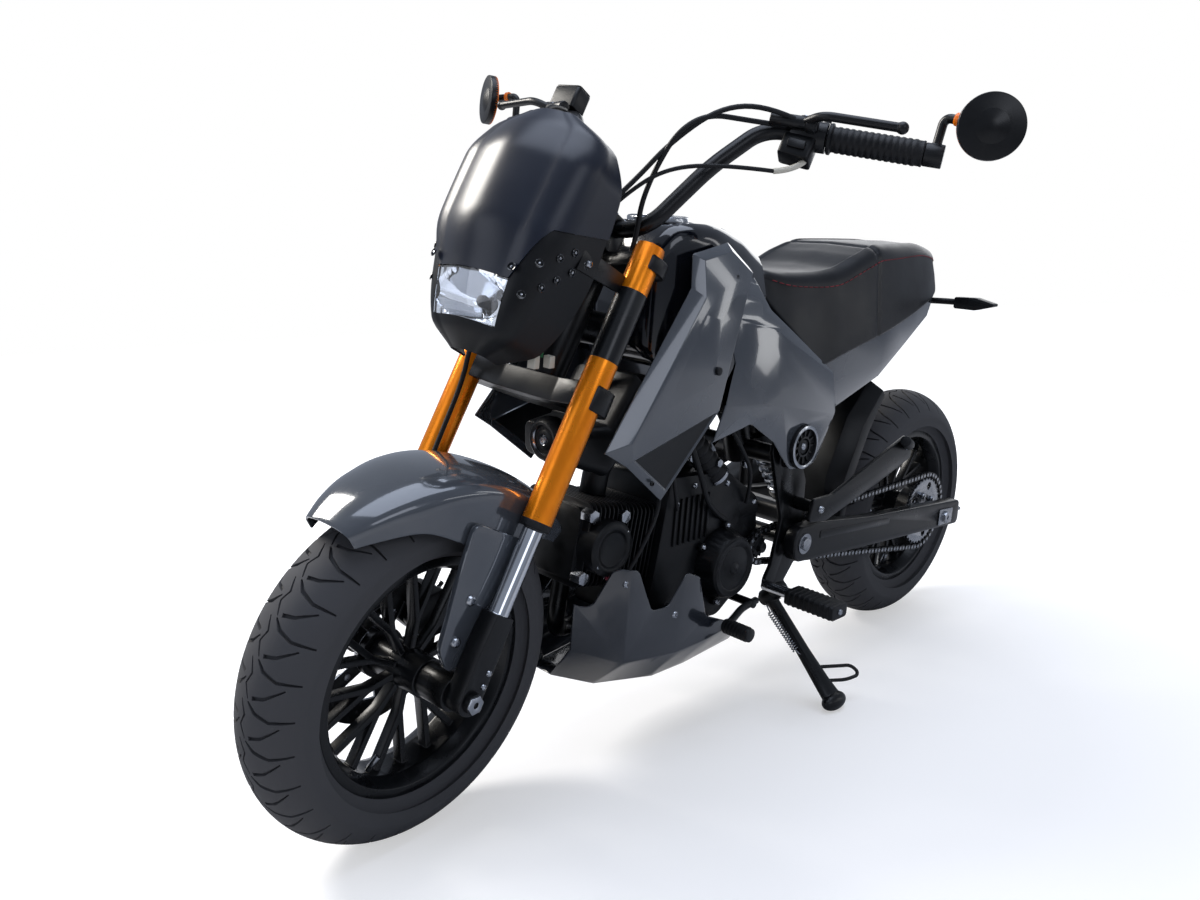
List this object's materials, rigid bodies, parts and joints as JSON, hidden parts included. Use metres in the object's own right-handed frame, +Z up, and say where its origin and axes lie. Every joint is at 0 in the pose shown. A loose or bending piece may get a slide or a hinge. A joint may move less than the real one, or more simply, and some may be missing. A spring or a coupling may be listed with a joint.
{
  "type": "motorcycle",
  "caption": "Small street motorcycle leaning on its side stand: upside down fork, horizontal finned engine, grey body panels, stepped seat and a high, wide handlebar.",
  "frame": {"origin": "centre of the bounding box on the floor that both tyres and the stand's foot touch", "axes": "+Z up, +Y towards the tail, +X towards the rider's left; the bike leans 8 degrees to +X"},
  "size_m": [0.9408, 1.7079, 1.0932],
  "materials": {
    "tyre_rubber": "matt",
    "black_wheel": "gloss",
    "grey_panel": "gloss",
    "black_plastic": "satin",
    "gloss_black": "gloss",
    "gold_anodised": "satin",
    "black_metal": "satin",
    "engine_black": "satin",
    "chrome": "polished",
    "bare_steel": "satin",
    "seat_vinyl": "matt",
    "rubber": "matt",
    "clear_lens": "gloss",
    "red_lens": "gloss"
  },
  "bodies": {
    "frame": {"main_frame": "black_metal", "seat_rails": "black_metal", "crankcase": "engine_black", "cylinder": "engine_black", "cylinder_head": "engine_black", "engine_covers": "engine_black", "intake": "black_plastic", "exhaust_pipe": "black_metal", "silencer": "black_metal", "tank": "gloss_black", "tank_cap": "bare_steel", "shroud_left": "grey_panel", "shroud_right": "grey_panel", "side_cover_left": "grey_panel", "side_cover_right": "grey_panel", "side_caps": "black_plastic", "seat": "seat_vinyl", "tail_cowl_left": "grey_panel", "tail_cowl_right": "grey_panel", "tail_lamp": "red_lens", "rear_fender": "black_plastic", "belly_pan": "grey_panel", "front_duct": "black_plastic", "horn": "black_plastic", "swingarm": "black_metal", "rear_axle": "bare_steel", "chain": "bare_steel", "rear_shock": "black_metal", "rear_caliper": "black_metal", "passenger_hangers": "black_metal", "rider_pegs": "rubber", "foot_controls": "black_metal", "rear_indicators": "black_plastic"},
    "steering": {"front_axle": "bare_steel", "fork_left": "gold_anodised", "fork_lower_left": "chrome", "fork_right": "gold_anodised", "fork_lower_right": "chrome", "handlebar": "black_metal", "fork_clamps": "black_metal", "grips": "rubber", "controls": "black_plastic", "cables": "rubber", "mirror_left": "black_plastic", "mirror_right": "black_plastic", "headlight_shell": "gloss_black", "headlight": "clear_lens", "gauge": "black_plastic", "front_fender": "grey_panel", "front_caliper": "black_metal"},
    "front_wheel": {"front_tyre": "tyre_rubber", "front_rim": "black_wheel", "front_disc": "bare_steel"},
    "rear_wheel": {"rear_tyre": "tyre_rubber", "rear_rim": "black_wheel", "rear_disc": "bare_steel", "rear_sprocket": "bare_steel"},
    "side_stand": {"side_stand": "black_metal"}
  },
  "joints": [
    {"name": "steering_head", "type": "hinge", "parent": "frame", "child": "steering", "pos_m": [-0.0325, -0.35814, 0.65681], "axis": [0.1229, 0.4688, 0.8747], "range_deg": [-38.5, 25.5]},
    {"name": "front_wheel_spin", "type": "hinge", "parent": "steering", "child": "front_wheel", "pos_m": [-0.08864, -0.61885, 0.2328], "axis": [0.9765, 0.1001, -0.1908], "continuous": true},
    {"name": "rear_wheel_spin", "type": "hinge", "parent": "frame", "child": "rear_wheel", "pos_m": [-0.09101, 0.61098, 0.2413], "axis": [0.9903, 0.0001, -0.1392], "continuous": true},
    {"name": "side_stand_hinge", "type": "hinge", "parent": "frame", "child": "side_stand", "pos_m": [-0.02282, 0.07804, 0.16564], "axis": [0.7729, 0.0992, 0.6267], "range_deg": [0, 66]}
  ]
}
